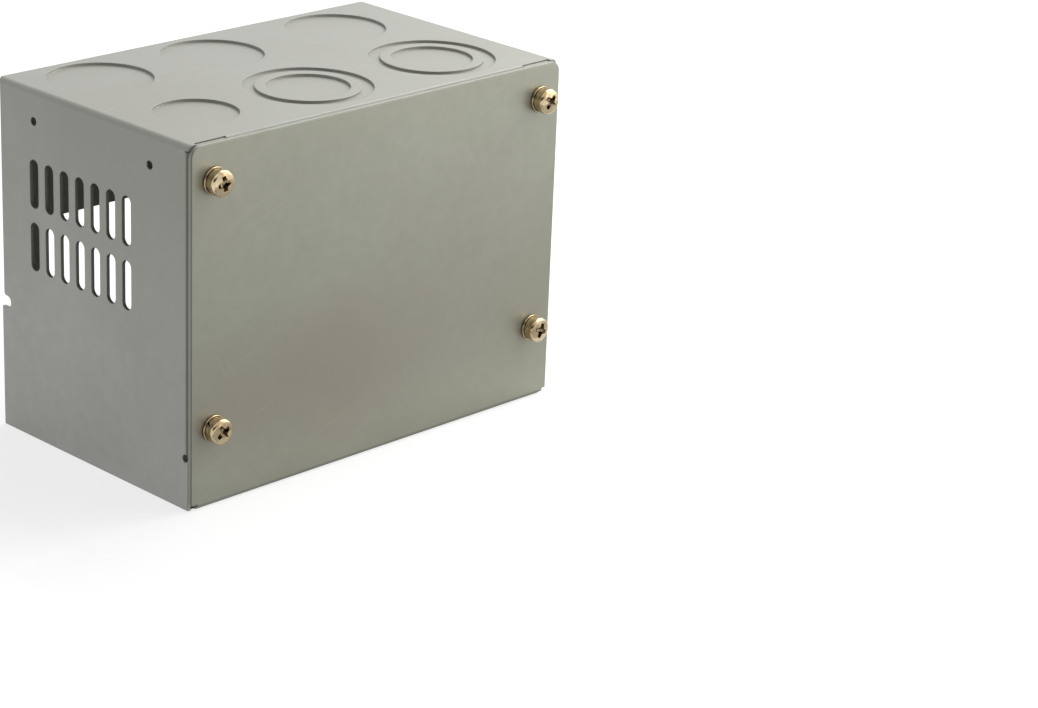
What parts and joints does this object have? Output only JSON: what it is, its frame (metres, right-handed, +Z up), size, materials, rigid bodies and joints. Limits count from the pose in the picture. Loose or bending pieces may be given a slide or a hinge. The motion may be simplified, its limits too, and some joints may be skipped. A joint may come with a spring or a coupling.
{
  "type": "metal enclosure",
  "caption": "Folded galvanised-steel wiring box with conduit knock-outs, side vent slots, an open base and a flat front cover held by cross-recess screws.",
  "frame": {"origin": "under the middle of the whole box, screw heads included, at the height of its open lower rim", "axes": "+X along the cover from left to right, +Y from the cover to the rear, +Z up to the knock-out panel"},
  "size_m": [0.129, 0.0834, 0.097],
  "materials": {
    "zinc_sheet": "matte galvanised sheet",
    "yellow_zinc": "bright yellow zinc plating",
    "bright_zinc": "bright zinc plating"
  },
  "bodies": {
    "box": {"box_body": "zinc_sheet", "upper_left_clinch_nut": "bright_zinc", "upper_right_clinch_nut": "bright_zinc", "lower_left_clinch_nut": "bright_zinc", "lower_right_clinch_nut": "bright_zinc"},
    "cover": {"front_cover": "zinc_sheet"},
    "upper_left_washers": {"upper_left_spring_washer": "yellow_zinc", "upper_left_flat_washer": "yellow_zinc"},
    "upper_left_cover_screw": {"upper_left_screw": "yellow_zinc"},
    "upper_right_washers": {"upper_right_spring_washer": "yellow_zinc", "upper_right_flat_washer": "yellow_zinc"},
    "upper_right_cover_screw": {"upper_right_screw": "yellow_zinc"},
    "lower_left_washers": {"lower_left_spring_washer": "yellow_zinc", "lower_left_flat_washer": "yellow_zinc"},
    "lower_left_cover_screw": {"lower_left_screw": "yellow_zinc"},
    "lower_right_washers": {"lower_right_spring_washer": "yellow_zinc", "lower_right_flat_washer": "yellow_zinc"},
    "lower_right_cover_screw": {"lower_right_screw": "yellow_zinc"}
  },
  "joints": [
    {"name": "cover_lift_off", "type": "slide", "parent": "box", "child": "cover", "axis": [0, -1, 0], "range_m": [0, 0.04]},
    {"name": "upper_left_screw_out", "type": "slide", "parent": "cover", "child": "upper_left_washers", "axis": [0, -1, 0], "range_m": [0, 0.00525]},
    {"name": "upper_left_screw_turn", "type": "hinge", "parent": "upper_left_washers", "child": "upper_left_cover_screw", "pos_m": [-0.05735, -0.0373, 0.0872], "axis": [0, -1, 0], "range_deg": [0, 2701]},
    {"name": "upper_right_screw_out", "type": "slide", "parent": "cover", "child": "upper_right_washers", "axis": [0, -1, 0], "range_m": [0, 0.00525]},
    {"name": "upper_right_screw_turn", "type": "hinge", "parent": "upper_right_washers", "child": "upper_right_cover_screw", "pos_m": [0.05735, -0.0373, 0.0872], "axis": [0, -1, 0], "range_deg": [0, 2701]},
    {"name": "lower_left_screw_out", "type": "slide", "parent": "cover", "child": "lower_left_washers", "axis": [0, -1, 0], "range_m": [0, 0.00525]},
    {"name": "lower_left_screw_turn", "type": "hinge", "parent": "lower_left_washers", "child": "lower_left_cover_screw", "pos_m": [-0.05735, -0.0373, 0.0214], "axis": [0, -1, 0], "range_deg": [0, 2701]},
    {"name": "lower_right_screw_out", "type": "slide", "parent": "cover", "child": "lower_right_washers", "axis": [0, -1, 0], "range_m": [0, 0.00525]},
    {"name": "lower_right_screw_turn", "type": "hinge", "parent": "lower_right_washers", "child": "lower_right_cover_screw", "pos_m": [0.05735, -0.0373, 0.0214], "axis": [0, -1, 0], "range_deg": [0, 2701]}
  ],
  "couplings": [
    {"joint": "upper_left_screw_turn", "follows": "upper_left_screw_out", "rad_per_m": 8976},
    {"joint": "upper_right_screw_turn", "follows": "upper_right_screw_out", "rad_per_m": 8976},
    {"joint": "lower_left_screw_turn", "follows": "lower_left_screw_out", "rad_per_m": 8976},
    {"joint": "lower_right_screw_turn", "follows": "lower_right_screw_out", "rad_per_m": 8976}
  ]
}
